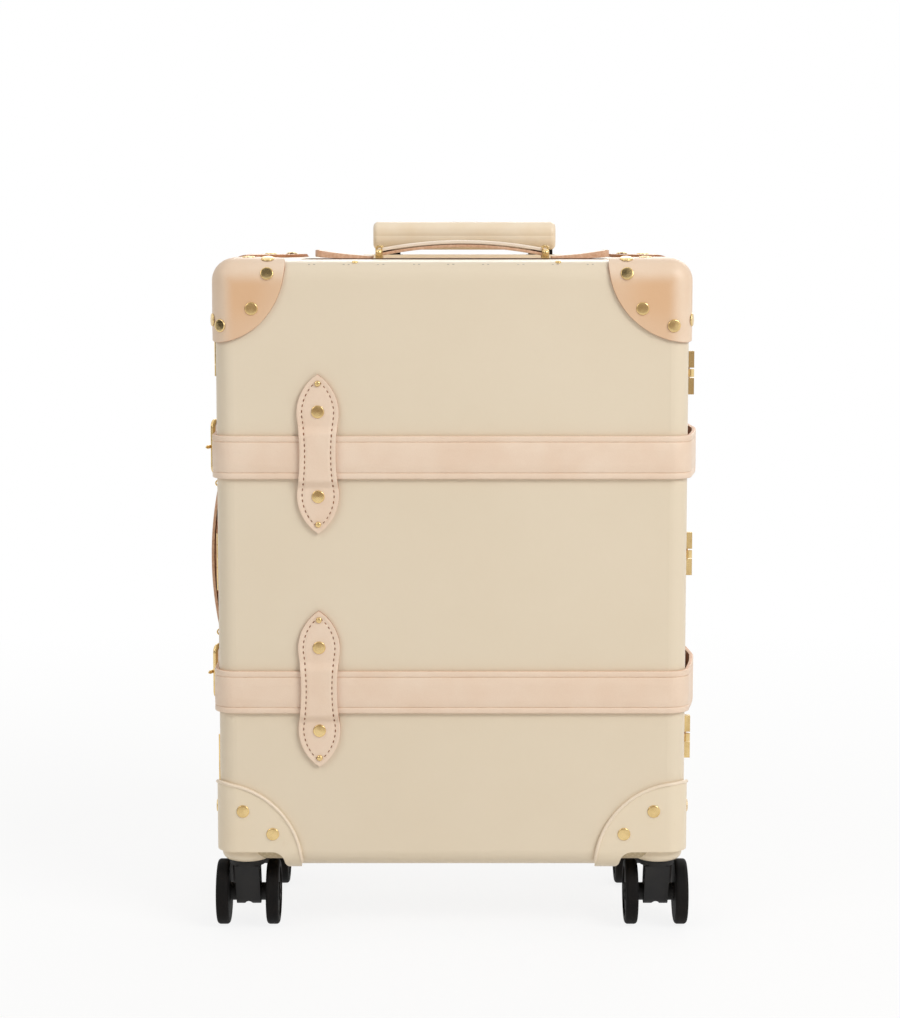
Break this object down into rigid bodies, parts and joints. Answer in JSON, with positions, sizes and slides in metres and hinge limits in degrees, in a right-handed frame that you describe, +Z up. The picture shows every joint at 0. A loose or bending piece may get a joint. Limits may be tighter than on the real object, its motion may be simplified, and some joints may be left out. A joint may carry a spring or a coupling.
{
  "type": "carry-on suitcase",
  "caption": "Rigid cabin case of hinged cream shells on swivel wheels, with leather corners and buckled straps, brass latches, carry handles and a telescopic pull handle.",
  "frame": {"origin": "on the floor, under the middle of the closed case", "axes": "+Z up, +X to the right seen from the front (hinges at -X, latches at +X), +Y to the back, so the lid faces -Y"},
  "size_m": [0.3856, 0.2036, 0.5529],
  "materials": {
    "fibreboard": "lacquered vulcanised fibreboard, satin",
    "lining_cloth": "woven cotton lining",
    "corner_leather": "moulded natural leather",
    "moulded_housing": "moulded, satin",
    "brass": "polished",
    "strap_leather": "natural leather, creased edges",
    "handle_leather": "natural leather, layered",
    "black_tube": "black anodised",
    "grip_plastic": "satin",
    "black_plastic": "satin",
    "wheel_rubber": "smooth tyre rubber"
  },
  "bodies": {
    "base": {"base_shell": "fibreboard", "base_rim": "fibreboard", "base_lining": "lining_cloth", "base_corner_left": "corner_leather", "base_corner_right": "corner_leather", "base_wheel_housing_left": "moulded_housing", "base_wheel_housing_right": "moulded_housing", "base_rivets": "brass", "top_handle_lugs": "brass", "top_handle_tabs": "strap_leather", "side_handle_lugs": "brass", "trolley_sleeves": "black_tube", "trolley_bezel": "grip_plastic", "trolley_foot": "black_plastic", "latch_plates": "brass", "strap_rear_upper": "strap_leather", "strap_rear_lower": "strap_leather", "rear_strap_pads": "strap_leather", "hinge_base_leaves": "brass"},
    "lid": {"lid_shell": "fibreboard", "lid_lining": "lining_cloth", "lid_corner_left": "corner_leather", "lid_corner_right": "corner_leather", "lid_wheel_housing_left": "moulded_housing", "lid_wheel_housing_right": "moulded_housing", "lid_rivets": "brass", "strap_front_upper": "strap_leather", "strap_front_lower": "strap_leather", "strap_pad_upper": "strap_leather", "strap_pad_lower": "strap_leather", "latch_catches": "brass", "hinge_lid_leaves": "brass", "hinge_pins": "brass"},
    "top_handle": {"top_handle": "handle_leather", "top_handle_pins": "brass"},
    "side_handle": {"side_handle": "handle_leather", "side_handle_pins": "brass"},
    "trolley_middle": {"trolley_middle_tubes": "black_tube"},
    "trolley_inner": {"trolley_inner_tubes": "black_tube", "trolley_grip": "grip_plastic"},
    "trolley_button": {"trolley_button": "grip_plastic"},
    "latch_lever_upper": {"latch_lever_upper": "brass"},
    "latch_lever_middle": {"latch_lever_middle": "brass"},
    "latch_lever_lower": {"latch_lever_lower": "brass"},
    "buckle_frame_upper": {"buckle_frame_upper": "brass"},
    "buckle_prong_upper": {"buckle_prong_upper": "brass"},
    "buckle_frame_lower": {"buckle_frame_lower": "brass"},
    "buckle_prong_lower": {"buckle_prong_lower": "brass"},
    "caster_front_left": {"caster_fork_front_left": "black_plastic"},
    "wheel_front_left_left": {"wheel_front_left_left": "wheel_rubber"},
    "wheel_front_left_right": {"wheel_front_left_right": "wheel_rubber"},
    "caster_front_right": {"caster_fork_front_right": "black_plastic"},
    "wheel_front_right_left": {"wheel_front_right_left": "wheel_rubber"},
    "wheel_front_right_right": {"wheel_front_right_right": "wheel_rubber"},
    "caster_rear_left": {"caster_fork_rear_left": "black_plastic"},
    "wheel_rear_left_left": {"wheel_rear_left_left": "wheel_rubber"},
    "wheel_rear_left_right": {"wheel_rear_left_right": "wheel_rubber"},
    "caster_rear_right": {"caster_fork_rear_right": "black_plastic"},
    "wheel_rear_right_left": {"wheel_rear_right_left": "wheel_rubber"},
    "wheel_rear_right_right": {"wheel_rear_right_right": "wheel_rubber"}
  },
  "joints": [
    {"name": "lid_hinge", "type": "hinge", "parent": "base", "child": "lid", "pos_m": [-0.1852, -0.02, 0.284], "axis": [0, 0, -1], "range_deg": [0, 100]},
    {"name": "top_handle_lift", "type": "slide", "parent": "base", "child": "top_handle", "axis": [0, 0, 1], "range_m": [0, 0.003]},
    {"name": "side_handle_lift", "type": "slide", "parent": "base", "child": "side_handle", "axis": [-1, 0, 0], "range_m": [0, 0.003]},
    {"name": "trolley_middle_slide", "type": "slide", "parent": "base", "child": "trolley_middle", "axis": [0, 0, 1], "range_m": [0, 0.19]},
    {"name": "trolley_inner_slide", "type": "slide", "parent": "trolley_middle", "child": "trolley_inner", "axis": [0, 0, 1], "range_m": [0, 0.2]},
    {"name": "trolley_button_press", "type": "slide", "parent": "trolley_inner", "child": "trolley_button", "axis": [0, 0, -1], "range_m": [0, 0.0025], "stiffness_N_per_m": 400},
    {"name": "latch_lever_upper_swing", "type": "hinge", "parent": "base", "child": "latch_lever_upper", "pos_m": [0.18592, 0.0024, 0.436], "axis": [0, 0, 1], "range_deg": [0, 100]},
    {"name": "latch_lever_middle_swing", "type": "hinge", "parent": "base", "child": "latch_lever_middle", "pos_m": [0.18592, 0.0024, 0.293], "axis": [0, 0, 1], "range_deg": [0, 100]},
    {"name": "latch_lever_lower_swing", "type": "hinge", "parent": "base", "child": "latch_lever_lower", "pos_m": [0.18592, 0.0024, 0.146], "axis": [0, 0, 1], "range_deg": [0, 100]},
    {"name": "buckle_frame_upper_swing", "type": "hinge", "parent": "base", "child": "buckle_frame_upper", "pos_m": [-0.1852, 0.0145, 0.375], "axis": [0, 0, -1], "range_deg": [0, 60]},
    {"name": "buckle_prong_upper_swing", "type": "hinge", "parent": "buckle_frame_upper", "child": "buckle_prong_upper", "pos_m": [-0.1852, 0.0145, 0.375], "axis": [0, 0, -1], "range_deg": [0, 32]},
    {"name": "buckle_frame_lower_swing", "type": "hinge", "parent": "base", "child": "buckle_frame_lower", "pos_m": [-0.1852, 0.0145, 0.193], "axis": [0, 0, -1], "range_deg": [0, 60]},
    {"name": "buckle_prong_lower_swing", "type": "hinge", "parent": "buckle_frame_lower", "child": "buckle_prong_lower", "pos_m": [-0.1852, 0.0145, 0.193], "axis": [0, 0, -1], "range_deg": [0, 32]},
    {"name": "caster_front_left_swivel", "type": "hinge", "parent": "lid", "child": "caster_front_left", "pos_m": [-0.161, -0.073, 0.05], "axis": [0, 0, 1], "continuous": true},
    {"name": "wheel_front_left_left_spin", "type": "hinge", "parent": "caster_front_left", "child": "wheel_front_left_left", "pos_m": [-0.1806, -0.061, 0.02575], "axis": [1, 0, 0], "continuous": true},
    {"name": "wheel_front_left_right_spin", "type": "hinge", "parent": "caster_front_left", "child": "wheel_front_left_right", "pos_m": [-0.1414, -0.061, 0.02575], "axis": [1, 0, 0], "continuous": true},
    {"name": "caster_front_right_swivel", "type": "hinge", "parent": "lid", "child": "caster_front_right", "pos_m": [0.161, -0.073, 0.05], "axis": [0, 0, 1], "continuous": true},
    {"name": "wheel_front_right_left_spin", "type": "hinge", "parent": "caster_front_right", "child": "wheel_front_right_left", "pos_m": [0.1414, -0.061, 0.02575], "axis": [1, 0, 0], "continuous": true},
    {"name": "wheel_front_right_right_spin", "type": "hinge", "parent": "caster_front_right", "child": "wheel_front_right_right", "pos_m": [0.1806, -0.061, 0.02575], "axis": [1, 0, 0], "continuous": true},
    {"name": "caster_rear_left_swivel", "type": "hinge", "parent": "base", "child": "caster_rear_left", "pos_m": [-0.161, 0.073, 0.05], "axis": [0, 0, 1], "continuous": true},
    {"name": "wheel_rear_left_left_spin", "type": "hinge", "parent": "caster_rear_left", "child": "wheel_rear_left_left", "pos_m": [-0.1806, 0.061, 0.02575], "axis": [1, 0, 0], "continuous": true},
    {"name": "wheel_rear_left_right_spin", "type": "hinge", "parent": "caster_rear_left", "child": "wheel_rear_left_right", "pos_m": [-0.1414, 0.061, 0.02575], "axis": [1, 0, 0], "continuous": true},
    {"name": "caster_rear_right_swivel", "type": "hinge", "parent": "base", "child": "caster_rear_right", "pos_m": [0.161, 0.073, 0.05], "axis": [0, 0, 1], "continuous": true},
    {"name": "wheel_rear_right_left_spin", "type": "hinge", "parent": "caster_rear_right", "child": "wheel_rear_right_left", "pos_m": [0.1414, 0.061, 0.02575], "axis": [1, 0, 0], "continuous": true},
    {"name": "wheel_rear_right_right_spin", "type": "hinge", "parent": "caster_rear_right", "child": "wheel_rear_right_right", "pos_m": [0.1806, 0.061, 0.02575], "axis": [1, 0, 0], "continuous": true}
  ]
}
